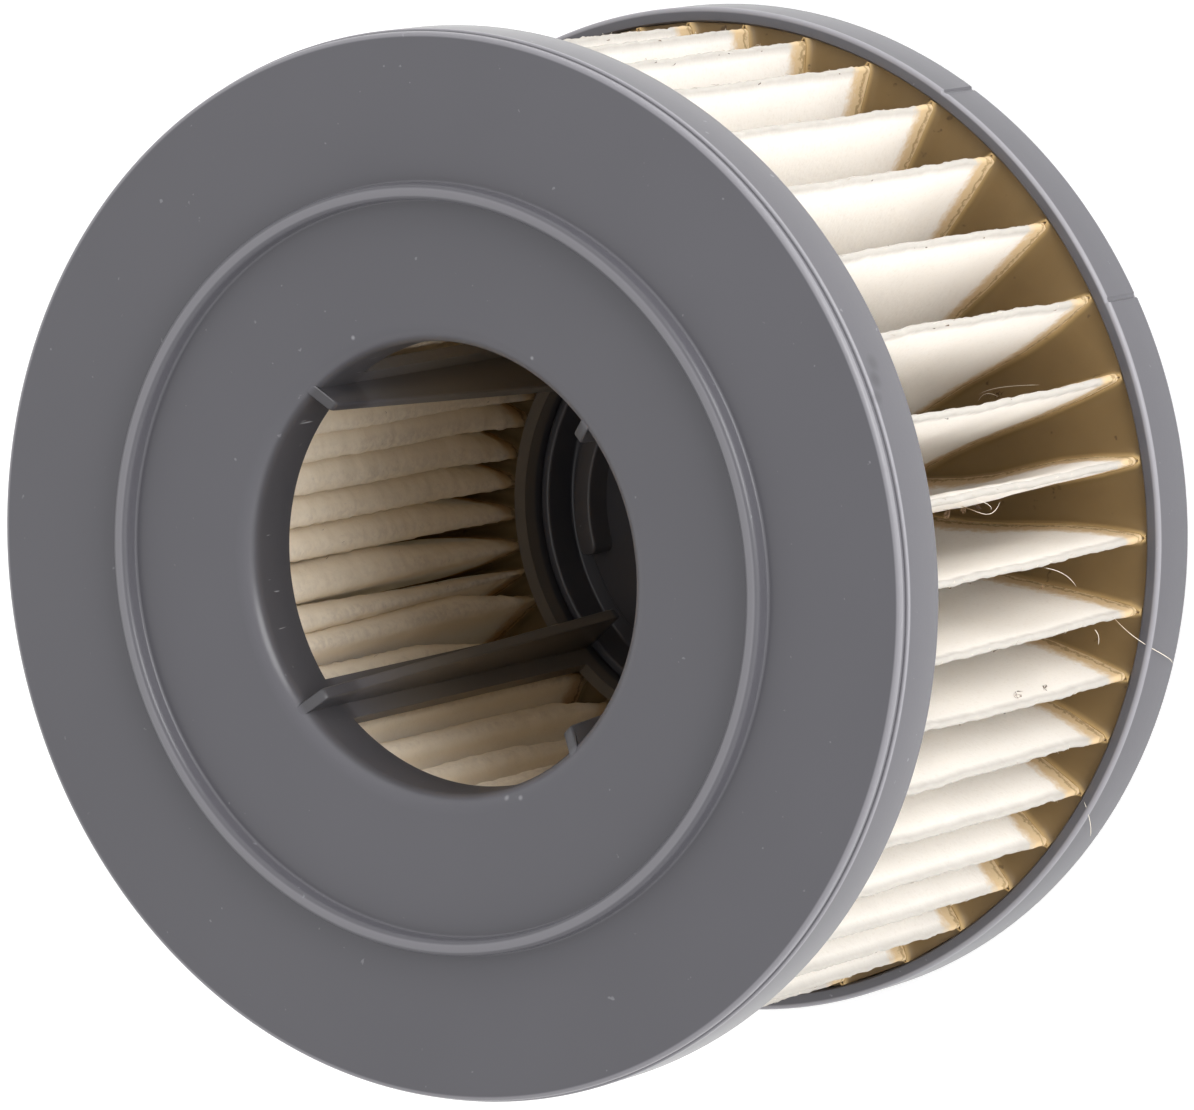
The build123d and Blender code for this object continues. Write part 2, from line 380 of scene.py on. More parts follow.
def rim_seam(points, rows):
    """Set the rim back between the seams, with a fine groove at each of them."""
    angle = np.degrees(seamed(0))
    depth = np.where((angle > SEAMS[0]) & (angle < SEAMS[1]), SEAM_STEP, 0.0)
    for end in SEAMS:
        depth[abs(angle - end) < 0.2] = SEAM_GROOVE
    grid = points.reshape(rows, len(angle), 3)
    radius = np.hypot(grid[..., 0], grid[..., 1])
    on_rim = radius > RIM_BORE + 0.45
    grid[..., :2] *= np.where(on_rim, 1 - depth / radius, 1.0)[..., None]


def boss_outline():
    """Closed outline of a boss: an arc about the axis with round ends."""
    half = BOSS_WIDTH / 2
    reach = math.radians(BOSS_ANGLE) / 2 - half / BOSS_CENTRE
    turn = np.linspace(0, math.pi, 10)[1:-1]
    along = np.linspace(-reach, reach, 24)
    return np.concatenate([
        polar(BOSS_CENTRE + half, along),
        polar(BOSS_CENTRE, reach) + polar(half, reach + turn),
        polar(BOSS_CENTRE - half, along[::-1]),
        polar(BOSS_CENTRE, -reach) + polar(half, math.pi - reach + turn),
    ])


def rear_cap(material):
    """Closed dish with its rim, plug and four arc-shaped bosses."""
    outline = [
        (RIM_RADIUS, 0, 0.75), (RIM_RADIUS, RIM_HEIGHT, 0.45), (RIM_BORE + 0.2, RIM_HEIGHT, 0.15),
        (RIM_BORE, RIM_HEIGHT - 0.3, 0.1), (RIM_BORE, FLOOR, 0.4),
        (PLUG_RADIUS, FLOOR, 0.3), (PLUG_RADIUS, PLUG_HEIGHT, 0.4), (PLUG_BORE, PLUG_HEIGHT, 0.4),
        (PLUG_BORE, FLOOR, 0.4), (DISC_RADIUS, FLOOR, 0.3), (DISC_RADIUS, DISC_TOP, 0.3), (2.0, DISC_TOP, 0),
        (2.0, 0, 0),
    ]
    profile = rounded(outline)
    shape = Shape()
    grid = turned(shape, profile, seamed)
    rim_seam(shape.points[0], grid.shape[0])
    ring = np.linspace(0, 2 * math.pi, 360, False)
    for height in (0, DISC_TOP):
        circle = np.stack([2 * np.cos(ring), 2 * np.sin(ring), np.full(360, float(height))], 1)
        shape.add(np.concatenate([circle, [[0, 0, height]]]), [(i, (i + 1) % 360, 360) for i in range(360)])
    flat = boss_outline()
    for index in range(BOSS_COUNT):
        angle = 2 * math.pi * (index + 0.5) / BOSS_COUNT

        def place(x, y, height, c=math.cos(angle), s=math.sin(angle)):
            return np.stack([x * c - y * s, x * s + y * c, height], 1)

        shape.add(*stacked(flat, round_edge(FLOOR, BOSS_TOP, 0.4), place))
    return shape.piece("cap_rear", "rear_cap", "cap_plastic", material)


# Pleats

def crest_angles():
    """Directions of the outer folds, in radians, with the crowding of the pleats."""
    turn = PHASE_ANGLE + np.arange(PLEAT_COUNT) * 360 / PLEAT_COUNT
    drift = sum(a * np.sin(np.radians(w * turn)) + b * np.cos(np.radians(w * turn))
                for w, a, b in PLEAT_DRIFT)
    return np.radians(PLEAT_ANGLE + turn + drift)


def polar(radius, angle):
    return np.stack([radius * np.cos(angle), radius * np.sin(angle)], -1)


CRESTS = crest_angles()
AFTER = np.append(CRESTS[1:], CRESTS[0] + 2 * math.pi)
ROOTS = (CRESTS + AFTER) / 2


def waves(generator, count, lengths, grid):
    """Sum of sines along grid, one row of random phases for each of count things."""
    total = np.zeros((count, len(grid)))
    for length, size in lengths:
        phase = generator.uniform(0, 2 * math.pi, (count, 1))
        power = generator.uniform(0.5, 1.0, (count, 1))
        total += size * power * np.sin(2 * math.pi * grid[None] / length + phase)
    return total


def unit(vectors):
    return vectors / np.linalg.norm(vectors, axis=-1, keepdims=True)


def bearing(way, ahead):
    """Angle of way from ahead."""
    cross = ahead[..., 0] * way[..., 1] - ahead[..., 1] * way[..., 0]
    return np.arctan2(cross, np.sum(way * ahead, -1))


def swept(centre, radius, ahead, start, end):
    """Points of a fold round centre from one bearing to the other."""
    share = np.linspace(0, 1, FOLD + 1)
    angle = start[..., None] + (end - start)[..., None] * share
    side = np.stack([-ahead[..., 1], ahead[..., 0]], -1)
    way = ahead[..., None, :] * np.cos(angle)[..., None] + side[..., None, :] * np.sin(angle)[..., None]
    return centre[..., None, :] + radius[..., None, None] * way


def noses(generator, height):
    """Centre, radius and free gap of every inner fold at each height. The folds lean a little, and
    touch each other from some height on. Those in NOSES follow the photo; the others are random."""
    share = np.clip((height - REAR_GLUE_TOP) / (FRONT_GLUE_BOTTOM - REAR_GLUE_TOP), 0, 1)
    low = generator.uniform(-0.9, 0.9, PLEAT_COUNT)
    high = low + generator.uniform(-1.1, 1.1, PLEAT_COUNT)
    meet = generator.uniform(16, 36, PLEAT_COUNT)
    part = np.full((PLEAT_COUNT, 1), 0.54)
    for index, (rear, front, touch, open_part) in NOSES.items():
        low[index], high[index], meet[index], part[index] = rear, front, touch, open_part
    edge = ROOTS[:, None] + np.radians(low[:, None] + (high - low)[:, None] * share)
    after = np.concatenate([edge[1:], edge[:1] + 2 * math.pi])
    parted = np.clip((meet[:, None] - height) / (meet[:, None] - 9), 0, 1.05)
    gap = (after - edge) * part * parted + 0.0015
    gap += np.clip((after - edge) - 0.150, 0, 1) * 0.8
    before = np.concatenate([edge[-1:] - 2 * math.pi, edge[:-1]]) + np.roll(gap, 1, 0)
    half = (edge - before) / 2
    ripple = waves(generator, PLEAT_COUNT, [(7, 0.06), (2.9, 0.12), (1.6, 0.12)], height)
    reach = half * ROOT_RADIUS / (1 - half) + ripple
    middle = (edge + before) / 2
    dent = waves(generator, PLEAT_COUNT, [(30, 0.12), (5.3, 0.07)], height)
    dent += np.clip(0.05 * generator.standard_normal(dent.shape), -0.1, 0.1)
    centre = polar(ROOT_RADIUS + reach + 0.12 + dent, middle)
    return centre, reach - NOSE_PAPER / 2, gap * ROOT_RADIUS


def sheet():
    """The folded sheet as (pleat, row, column, ...) arrays: its middle line, the way to its outer
    skin, and the thickness at each column. A pleat's columns run over crest i, down to root i,
    round it, and up towards crest i + 1."""
    generator = np.random.default_rng(11)
    height = np.linspace(PAPER_BOTTOM, PAPER_TOP, ROWS * FINE + 1)
    swing = waves(generator, PLEAT_COUNT, [(60, 0.16), (21, 0.10), (9, 0.06), (4.3, 0.05)], height)
    swing += 0.035 * generator.standard_normal(swing.shape)
    ragged = 0.13 + waves(generator, PLEAT_COUNT, [(13, 0.05), (5.1, 0.04)], height)
    ragged += np.clip(0.04 * generator.standard_normal(ragged.shape), -0.09, 0.12)
    above = np.clip(height - REAR_GLUE_TOP, 0, 99)
    below = np.clip(FRONT_GLUE_BOTTOM - height, 0, 99)
    open_end = np.exp(-above / 2.5) + np.exp(-below / 2.5)
    fold = np.broadcast_to(CREST_FOLD + 0.22 * open_end, ragged.shape)
    ways = polar(1.0, CRESTS[:, None] + swing / CREST_RADIUS)
    crest = ways * (CREST_RADIUS - ragged - fold - CREST_PAPER / 2)[..., None]
    root, turn, gap = noses(generator, height)
    bow = waves(generator, PLEAT_COUNT * 2, [(95, 0.26), (41, 0.16), (19, 0.06)], height)
    bow = bow.reshape(PLEAT_COUNT, 2, -1)
    swell = generator.uniform(0.1, 0.55, (PLEAT_COUNT, 2, 1)) + np.zeros_like(bow)
    lean_back = generator.uniform(1.2, 2.0, (PLEAT_COUNT, 1)) + np.zeros_like(bow[:, 0])

    def flank(side):
        """Way out of the flank at its crest, and its points from crest to root."""
        peak = crest if side == 0 else np.roll(crest, -1, 0)
        radius = fold if side == 0 else np.roll(fold, -1, 0)
        spare = np.roll(gap, 1, 0) if side == 0 else gap
        long = np.linalg.norm(root - peak, axis=-1)
        down = (root - peak) / long[..., None]
        across = np.stack([down[..., 1], -down[..., 0]], -1) * (1 if side == 0 else -1)
        lean = (radius + turn) / long
        way = down * lean[..., None] + across * np.sqrt(1 - lean ** 2)[..., None]
        top, bottom = peak + way * radius[..., None], root - way * turn[..., None]
        bottom = bottom + unit(root) * (lean_back[..., None] if side == 0 else 0)
        share = np.linspace(0, 1, FLANK + 1)[1:-1]
        moved = swell[:, side, :, None] * np.sin(2 * math.pi * share)
        moved = moved + bow[:, side, :, None] * np.sin(math.pi * share)
        room = radius[..., None] + (spare[..., None] / 2 + NOSE_PAPER / 2 - radius[..., None]) * share
        moved = np.maximum(moved, PAPER / 2 + 0.02 - room)
        points = top[..., None, :] + (bottom - top)[..., None, :] * share[:, None]
        return way, points + moved[..., None] * way[..., None, :]

    way_down, points_down = flank(0)
    way_up, points_up = flank(1)
    over = swept(crest, fold, ways, bearing(np.roll(way_up, 1, 0), ways), bearing(way_down, ways))
    inward = -unit(root)
    start, end = bearing(-way_down, inward), bearing(-way_up, inward)
    under = swept(root, turn, inward, start, end)
    bend = start[..., None] + (end - start)[..., None] * np.linspace(0, 1, FOLD + 1)
    slide = lean_back[..., None] * (0.5 + 0.5 * np.sin(bend))
    under += -inward[..., None, :] * slide[..., None]
    line = np.concatenate([over, points_down, under, points_up[..., ::-1, :]], 2)
    ring = np.moveaxis(line, 1, 0).reshape(len(height), -1, 2)
    along = unit(np.roll(ring, -1, 1) - np.roll(ring, 1, 1))
    way = np.stack([along[..., 1], -along[..., 0]], -1).reshape(len(height), PLEAT_COUNT, -1, 2)
    way = np.moveaxis(way, 1, 0)
    ease = np.linspace(0, 1, FLANK + 1)[1:-1]
    thick = np.concatenate([np.full(FOLD + 1, CREST_PAPER), CREST_PAPER + (NOSE_PAPER - CREST_PAPER) * ease,
                            np.full(FOLD + 1, NOSE_PAPER), NOSE_PAPER + (CREST_PAPER - NOSE_PAPER) * ease])
    return height, line, way, thick


def woven(shape, columns):
    """Closed band from columns of points, some of which have more points than their neighbours."""
    base = shape.count
    bases = base + np.cumsum([0] + [len(column) for column in columns])
    faces = []
    for index in range(len(columns)):
        counts = [len(columns[index - 1]) - 1, len(columns[index]) - 1]
        cells = min(counts)
        starts = [int(bases[index - 1]) if index else int(bases[len(columns) - 1]), int(bases[index])]
        for cell in range(cells):
            left, right = ([start + cell * (count // cells) + i for i in range(count // cells + 1)]
                           for start, count in zip(starts, counts))
            faces.append(tuple(left + right[::-1]))
    shape.add(np.concatenate(columns), [tuple(i - base for i in face) for face in faces])
    return bases[:-1]


def paper(material, height, line, way, thick):
    """The folded sheet as one closed skin."""
    shape = Shape()
    fine = {1: range(0, FOLD + 1), -1: range(FOLD + FLANK, 2 * FOLD + FLANK + 1)}
    ends = []
    for sign in (1, -1):
        skin = line + way * (sign * thick / 2)[:, None]
        columns = []
        for pleat in range(PLEAT_COUNT):
            for column in range(skin.shape[2]):
                step = 1 if column in fine[sign] else FINE
                columns.append(np.column_stack([skin[pleat, ::step, column], height[::step]]))
        bases = woven(shape, columns)
        ends.append([(int(base), int(base) + len(column) - 1) for base, column in zip(bases, columns)])
    for index in range(len(ends[0])):
        for end in (0, 1):
            (one, two), (four, three) = [(skin[index - 1][end], skin[index][end]) for skin in ends]
            shape.faces.append((one, two, three, four))
    return shape.piece("paper_folds", "pleated_media", "filter_paper", material, sharp=70)


def resample(line, count):
    """The same line with evenly spaced points."""
    steps = np.append(0, np.cumsum(np.linalg.norm(np.diff(line, axis=0), axis=1)))
    where = np.linspace(0, steps[-1], count)
    return np.stack([np.interp(where, steps, line[:, k]) for k in range(2)], 1)


def glue_cell(shape, left, right, rows, start_level, level, sign, generator):
    """One closed wedge of glue between two lines that run inside the paper. The glue climbs the
    paper beside it."""
    left, right = resample(left, rows), resample(right, rows)
    width = np.linalg.norm(right - left, axis=1)[:, None]
    steps = len(GLUE_STEPS)
    offsets = np.minimum(np.array(GLUE_STEPS)[None], width / 2 * (np.arange(steps) / steps)[None])
    offsets = np.concatenate([offsets, width / 2, width - offsets[:, ::-1]], 1)
    share = (offsets / width)[..., None]
    grid = left[:, None] * (1 - share) + right[:, None] * share
    near = np.clip(np.minimum(offsets, width - offsets) - NOSE_PAPER / 2, 0, 99)
    rise = sum(climb * np.exp(-near / reach) for climb, reach in GLUE_CLIMB)
    rise = rise + NARROW_CLIMB * np.exp(-width / NARROW_REACH)
    roll = 0.10 * np.sin(grid[..., 0] * 0.31 + 1.3) * np.cos(grid[..., 1] * 0.27)
    top = level + sign * (rise + roll + generator.uniform(-0.08, 0.08))
    count = grid.shape[1]
    upper = np.concatenate([grid, top[..., None]], 2).reshape(-1, 3)
    lower = np.concatenate([grid, np.full(grid.shape[:2] + (1,), start_level)], 2).reshape(-1, 3)
    base = rows * count
    faces = []
    for r in range(rows - 1):
        for c in range(count - 1):
            quad = cell(r, r + 1, c, c + 1, count)
            faces += [quad, tuple(base + i for i in quad[::-1])]
    edge = list(range(count)) + [r * count + count - 1 for r in range(1, rows)]
    edge += [(rows - 1) * count + c for c in range(count - 2, -1, -1)]
    edge += [r * count for r in range(rows - 2, 0, -1)]
    for i, j in zip(edge, edge[1:] + edge[:1]):
        faces.append((i, j, base + j, base + i))
    shape.add(np.concatenate([upper, lower]), faces)


def glue(name, node, material, line, row, seat, level, sign, bore, inner_wall):
    """Ring of set glue: a turned base under the paper's edge, and a wedge in every valley and inside
    every pleat."""
    generator = np.random.default_rng(5)
    shape = Shape()
    base_top = PAPER_BOTTOM if sign > 0 else PAPER_TOP
    profile = np.array([(inner_wall, seat), (bore, seat), (bore, base_top), (inner_wall, base_top)])
    turned(shape, profile, even(258))
    start = base_top - sign * 0.05
    mid = FOLD // 2
    crest, root = slice(0, FOLD + 1), slice(FOLD + FLANK, 2 * FOLD + FLANK + 1)
    for index in range(PLEAT_COUNT):
        here, before, after = line[index, row], line[index - 1, row], line[(index + 1) % PLEAT_COUNT, row]
        down, up = here[FOLD + 1:FOLD + FLANK], here[2 * FOLD + FLANK + 1:]
        walls = [polar(bore, math.atan2(*crest_mid[::-1])) for crest_mid in (here[mid], after[mid])]
        low = here[root]
        left = np.concatenate([low[mid - 1::-1], down[::-1], here[crest][:mid - 1:-1], [walls[0]]])
        right = np.concatenate([low[mid + 1:], up, after[crest][:mid + 1], [walls[1]]])
        glue_cell(shape, left, right, 34, start, level, sign, generator)
        # The inside of the pleat, open to the bore
        low_before, up_before = before[root], before[2 * FOLD + FLANK + 1:]
        walls = [polar(COLLAR_RADIUS, math.atan2(*root_mid[::-1])) for root_mid in (low_before[mid], low[mid])]
        left = np.concatenate([here[crest][mid - 1::-1], up_before[::-1], low_before[:mid - 1:-1], [walls[0]]])
        right = np.concatenate([here[crest][mid + 1:], down, low[:mid + 1], [walls[1]]])
        glue_cell(shape, left, right, 22, start, level, sign, generator)
    return shape.piece(name, node, "potting_glue", material, sharp=60)


def hair(shape, path, radius, sides=4):
    """Thin round hair along a path of points, pointed at its ends."""
    path = np.asarray(path, float)
    along = unit(np.gradient(path, axis=0))
    first = unit(np.cross(along, [0.31, 0.52, 0.79]))
    second = np.cross(along, first)
    turn = np.linspace(0, 2 * math.pi, sides, False)
    taper = np.clip(np.minimum(np.arange(len(path)), np.arange(len(path))[::-1]) / 1.5, 0.25, 1) * radius
    way = first[:, None] * np.cos(turn)[:, None] + second[:, None] * np.sin(turn)[:, None]
    ring = path[:, None] + taper[:, None, None] * way
    faces = [tuple(range(sides))[::-1], tuple((len(path) - 1) * sides + i for i in range(sides))]
    for r in range(len(path) - 1):
        for i in range(sides):
            j = (i + 1) % sides
            faces.append(cell(r, r + 1, i, j, sides))
    shape.add(ring, faces)


def curve(knots, count=14):
    """Smooth path through a few points."""
    knots = np.asarray(knots, float)
    share = np.linspace(0, 1, len(knots))
    where = np.linspace(0, 1, count)
    order = min(3, len(knots) - 1)
    return np.stack([np.polyval(np.polyfit(share, knots[:, k], order), where) for k in range(3)], 1)


def fibres(material, height, line):
    """Loose hairs: short fuzz at random along the folds, and longer hairs placed after the photo."""
    generator = np.random.default_rng(23)
    shape = Shape()
    mid = FOLD // 2
    for _ in range(FUZZ):
        pleat = generator.integers(PLEAT_COUNT)
        row = generator.integers(12, len(height) - 12)
        outside = generator.random() < 0.45
        column = mid if outside else FOLD + FLANK + generator.integers(1, 5)
        spot = np.append(line[pleat, row, column], height[row])
        away = np.append(unit(spot[:2]), 0) * (1 if outside else -1)
        side = np.array([-away[1], away[0], 0])
        length = generator.uniform(0.5, 1.8)
        lean, drop = generator.uniform(-1, 1), generator.uniform(-1, 1)
        start = spot + away * (CREST_PAPER if outside else NOSE_PAPER) * 0.4
        bend = away * generator.uniform(0.05, 0.22) + side * lean * 0.25
        end = away * generator.uniform(-0.05, 0.12) + side * lean * 0.45 + np.array([0, 0, drop * length])
        middle = start + bend + np.array([0, 0, drop * length * 0.4])
        hair(shape, curve([start, middle, start + end], 6), generator.uniform(0.016, 0.034), 3)
    for knots, radius in HAIRS:
        points = [np.append(polar(r, math.radians(a)), z) for r, a, z in knots]
        hair(shape, curve(points, 18), radius)
    return shape.piece("paper_fibres", None, "filter_paper", material, sharp=180)


def tangles(material, height, line):
    """Shreds, dark in part as painted shade: single ones at random under the outer folds, and knots
    of them after the photo.
    """
    generator = np.random.default_rng(31)
    shape = Shape()
    mid = FOLD // 2
    for _ in range(SHREDS):
        pleat = generator.integers(PLEAT_COUNT)
        row = generator.integers(14, len(height) - 6)
        spot = np.append(line[pleat, row, mid], height[row])
        out = np.append(unit(spot[:2]), 0)
        side = np.array([-out[1], out[0], 0])
        start = spot - side * generator.uniform(0.30, 0.60) + out * generator.uniform(-0.35, 0.05)
        bend = np.array([0, 0, generator.uniform(-0.5, 0.5)]) - side * generator.uniform(0, 0.2)
        end = np.array([0, 0, generator.uniform(-0.9, 0.9)]) - out * generator.uniform(0, 0.3)
        hair(shape, curve([start, start + bend, start + end], 5), generator.uniform(0.04, 0.08), 3)
    for radius, angle, level, spread, count in TANGLES:
        reach = spread * np.array([1, DEGREES_IN_RADIAN / radius, 1])
        for _ in range(count):
            knots = [(radius, angle, level) + reach * generator.uniform(-0.5, 0.5, 3) for _ in range(3)]
            points = [np.append(polar(r, math.radians(a)), z) for r, a, z in knots]
            hair(shape, curve(points, 8), generator.uniform(0.02, 0.045), 3)
    return shape.piece("paper_shreds", None, "filter_paper", material, sharp=180)


# Materials

def srgb(*values):
    """Linear colour of an sRGB colour in 0 to 255."""
    share = [v / 255 for v in values]
    return tuple(v / 12.92 if v <= 0.04045 else ((v + 0.055) / 1.055) ** 2.4 for v in share) + (1.0,)


class Maker:
    """Short words for building a material's nodes."""

    def __init__(self, name):
        self.material = bpy.data.materials.new(name)
        self.material.use_nodes = True
        self.tree = self.material.node_tree
        self.tree.nodes.clear()
        self.output = self.tree.nodes.new("ShaderNodeOutputMaterial")
        self.where = self.tree.nodes.new("ShaderNodeTexCoord").outputs["Object"]

    def node(self, kind, links=(), **values):
        made = self.tree.nodes.new("ShaderNode" + kind)
        for key, value in values.items():
            if hasattr(made, key):
                setattr(made, key, value)
            else:
                made.inputs[key.replace("_", " ")].default_value = value
        for key, source in dict(links).items():
            self.tree.links.new(source, made.inputs[key])
        return made

    def part(self, name):
        """One coordinate of the place on the object, in metres."""
        return self.node("SeparateXYZ", {"Vector": self.where}).outputs[name]

    def height(self):
        return self.part("Z")

    def radius(self):
        x, y = self.part("X"), self.part("Y")
        return self.sum("SQRT", self.sum("ADD", self.sum("MULTIPLY", x, x), self.sum("MULTIPLY", y, y)), 0.0)

    def stretched(self, x, y, z):
        made = self.node("Mapping", {"Vector": self.where})
        made.inputs["Scale"].default_value = (x, y, z)
        return made.outputs["Vector"]

    def noise(self, scale, detail=3.0, roughness=0.5, where=None):
        made = self.node("TexNoise", {"Vector": where or self.where})
        made.inputs["Scale"].default_value = scale
        made.inputs["Detail"].default_value = detail
        made.inputs["Roughness"].default_value = roughness
        return made.outputs["Fac"]

    def spread(self, value, low, high, to_low=0.0, to_high=1.0):
        made = self.node("MapRange", {"Value": value})
        for key, number in (("From Min", low), ("From Max", high), ("To Min", to_low), ("To Max", to_high)):
            made.inputs[key].default_value = number
        return made.outputs["Result"]

    def mix(self, share, first, second, kind="MIX"):
        made = self.tree.nodes.new("ShaderNodeMix")
        made.data_type = "RGBA"
        made.blend_type = kind
        for socket, value in ((made.inputs[0], share), (made.inputs[6], first), (made.inputs[7], second)):
            if isinstance(value, bpy.types.NodeSocket):
                self.tree.links.new(value, socket)
            else:
                socket.default_value = value
        return made.outputs[2]

    def sum(self, kind, first, second=0.5):
        made = self.tree.nodes.new("ShaderNodeMath")
        made.operation = kind
        for socket, value in zip(made.inputs, (first, second)):
            if isinstance(value, bpy.types.NodeSocket):
                self.tree.links.new(value, socket)
            else:
                socket.default_value = value
        return made.outputs[0]

    def product(self, first, *others):
        for other in others:
            first = self.sum("MULTIPLY", first, other)
        return first

    def between(self, value, low, full, still, high):
        """1 from full to still, fading to 0 at low and at high."""
        return self.product(self.spread(value, low, full), self.spread(value, high, still))

    def bump(self, height, strength, distance):
        made = self.node("Bump", {"Height": height})
        made.inputs["Strength"].default_value = strength
        made.inputs["Distance"].default_value = distance
        return made.outputs["Normal"]

    def finish(self, shader):
        self.tree.links.new(shader, self.output.inputs["Surface"])
        return self.material


def plastic():
    """Satin grey moulding with fine grain, a few specks, and fine scratches inside the collar. Some
    of the photo's light is painted on: a darker wall behind the lip, a lighter and browner cage in
    the bore, and lighter bands on four edges."""
    m = Maker("moulded_plastic")
    cloud = m.spread(m.noise(38, 2, 0.55), 0.1, 0.9)
    colour = m.mix(cloud, srgb(78, 77, 82), srgb(82, 81, 86))
    speck = m.spread(m.noise(760, 2), 0.745, 0.775)
    colour = m.mix(m.product(speck, 0.35), colour, srgb(150, 150, 154))
    lines = m.spread(m.noise(1.0, 2, 0.5, m.stretched(1500, 1500, 130)), 0.70, 0.74)
    inside = m.between(m.radius(), 0.0272, 0.0273, 0.0275, 0.0276)
    high = m.between(m.height(), 0.0635, 0.0640, 0.0675, 0.0680)
    wall = m.product(m.spread(m.radius(), 0.0280, 0.0274), m.spread(m.height(), 0.0615, 0.0625))
    colour = m.mix(m.product(wall, 0.6), colour, srgb(48, 46, 46))
    colour = m.mix(m.product(inside, high, m.product(lines, 0.7)), colour, srgb(170, 170, 172))
    rear_part = m.between(m.height(), 0.0076, 0.0082, 0.0460, 0.0640)
    cage = m.product(m.spread(m.radius(), 0.0298, 0.0292), rear_part)
    colour = m.mix(cage, colour, srgb(112, 104, 95))
    for low, high, inner, outer, share in HIGHLIGHTS:
        band = m.between(m.height(), low * MM, (low + 0.2) * MM, (high - 0.1) * MM, high * MM)
        ring = m.between(m.radius(), inner * MM, (inner + 0.2) * MM, (outer - 0.2) * MM, outer * MM)
        colour = m.mix(m.product(band, ring, share), colour, srgb(172, 170, 175))
    # The pale marks on the lip are painted highlights; the darker ones make a smudge on the skirt
    for radius, angle, level, size, share in MARKS:
        away = m.node("VectorMath", {0: m.where}, operation="DISTANCE")
        away.inputs[1].default_value = [v * MM for v in (*polar(radius, math.radians(angle)), level)]
        near = m.spread(away.outputs["Value"], size * MM, 0.3 * size * MM)
        tone = srgb(50, 49, 53) if share < 0 else srgb(160, 159, 163)
        colour = m.mix(m.product(near, abs(share)), colour, tone)
    grain = m.bump(m.noise(2300, 2, 0.6), 0.16, 0.00003)
    rough = m.spread(cloud, 0, 1, 0.27, 0.31)
    shader = m.node("BsdfPrincipled", {"Base Color": colour, "Roughness": rough, "Normal": grain})
    shader.inputs["Specular IOR Level"].default_value = 0.5
    return m.finish(shader.outputs[0])


def filter_paper():
    """Felted paper that lets light through, with the glue drawn up into both of its edges. Some of
    the photo's light is painted on: greyer outer folds, and warmer and darker inner ones."""
    m = Maker("filter_paper")
    cloud = m.spread(m.noise(60, 2, 0.5), 0.3, 0.7)
    colour = m.mix(cloud, srgb(251, 250, 248), srgb(254, 253, 251))
    colour = m.mix(m.spread(m.radius(), 0.0602, 0.0615), colour, srgb(200, 197, 192))
    colour = m.mix(m.spread(m.radius(), 0.0345, 0.0315), colour, srgb(251, 242, 225))
    fibre = m.noise(2200, 3, 0.65)
    colour = m.mix(m.spread(fibre, 0.36, 0.44, 0.10, 0.0), colour, srgb(206, 192, 172))
    patch = m.noise(950, 2, 0.7)
    inner = m.product(m.spread(m.radius(), 0.0306, 0.0297), m.spread(patch, 0.40, 0.62, 0.25, 1.0))
    colour = m.mix(m.product(inner, 0.40), colour, srgb(160, 142, 132))
    waver = m.spread(patch, 0.3, 0.7, -0.0006, 0.0006)
    level = m.sum("ADD", m.height(), waver)
    rear = m.spread(level, REAR_STAIN * MM, REAR_CREAM * MM, 1.0, 0.0)
    front = m.spread(level, FRONT_CREAM * MM, FRONT_STAIN * MM, 0.0, 1.0)
    stain = m.sum("MAXIMUM", rear, front)
    brim = m.between(level, 0.0084, 0.0087, 0.0090, 0.0093)
    colour = m.mix(stain, colour, srgb(228, 205, 165))
    colour = m.mix(m.product(brim, 0.55), colour, srgb(150, 118, 70))
    relief = m.sum("ADD", m.noise(700, 2, 0.6), m.product(fibre, 0.5))
    normal = m.bump(relief, 0.45, 0.0002)
    shader = m.node("BsdfPrincipled", {"Base Color": colour, "Normal": normal}, Roughness=0.92)
    shader.inputs["Specular IOR Level"].default_value = 0.12
    through = m.node("BsdfTranslucent", {"Color": m.mix(1.0, colour, srgb(254, 243, 222), "MULTIPLY")})
    both = m.node("MixShader")
    both.inputs[0].default_value = PAPER_THROUGH
    m.tree.links.new(shader.outputs[0], both.inputs[1])
    m.tree.links.new(through.outputs[0], both.inputs[2])
    return m.finish(both.outputs[0])


def paper_fibre():
    """Hairs, most of them pale and some of them brown."""
    m = Maker("paper_fibre")
    colour = m.mix(m.spread(m.noise(120, 2), 0.50, 0.62), srgb(240, 230, 212), srgb(120, 92, 62))
    shader = m.node("BsdfPrincipled", {"Base Color": colour}, Roughness=0.7)
    return m.finish(shader.outputs[0])


def painted_shade_fibre():
    """Brown shreds, whose dark brown is in part painted shade under the outer folds' edges."""
    m = Maker("painted_shade_fibre")
    colour = m.mix(m.spread(m.noise(300, 2), 0.42, 0.62), srgb(74, 52, 34), srgb(132, 104, 74))
    shader = m.node("BsdfPrincipled", {"Base Color": colour}, Roughness=0.8)
    return m.finish(shader.outputs[0])


def set_glue():
    """Hard tan glue with dark flecks, paler where it thins against the paper."""
    m = Maker("set_glue")
    cloud = m.spread(m.noise(70, 4, 0.6), 0.3, 0.7)
    colour = m.mix(cloud, srgb(114, 93, 60), srgb(123, 101, 66))
    front = m.between(m.height(), 0.050, 0.051, 0.0628, 0.0634)
    thin = m.sum("MAXIMUM", m.spread(m.height(), 0.0074, 0.0081), front)
    colour = m.mix(m.product(thin, 0.8), colour, srgb(180, 152, 106))
    fleck = m.spread(m.noise(620, 2), 0.70, 0.75)
    colour = m.mix(m.product(fleck, 0.6), colour, srgb(62, 44, 28))
    normal = m.bump(m.noise(260, 4, 0.6), 0.35, 0.0002)
    shader = m.node("BsdfPrincipled", {"Base Color": colour, "Normal": normal}, Roughness=0.5)
    shader.inputs["Specular IOR Level"].default_value = 0.4
    return m.finish(shader.outputs[0])


# Stage

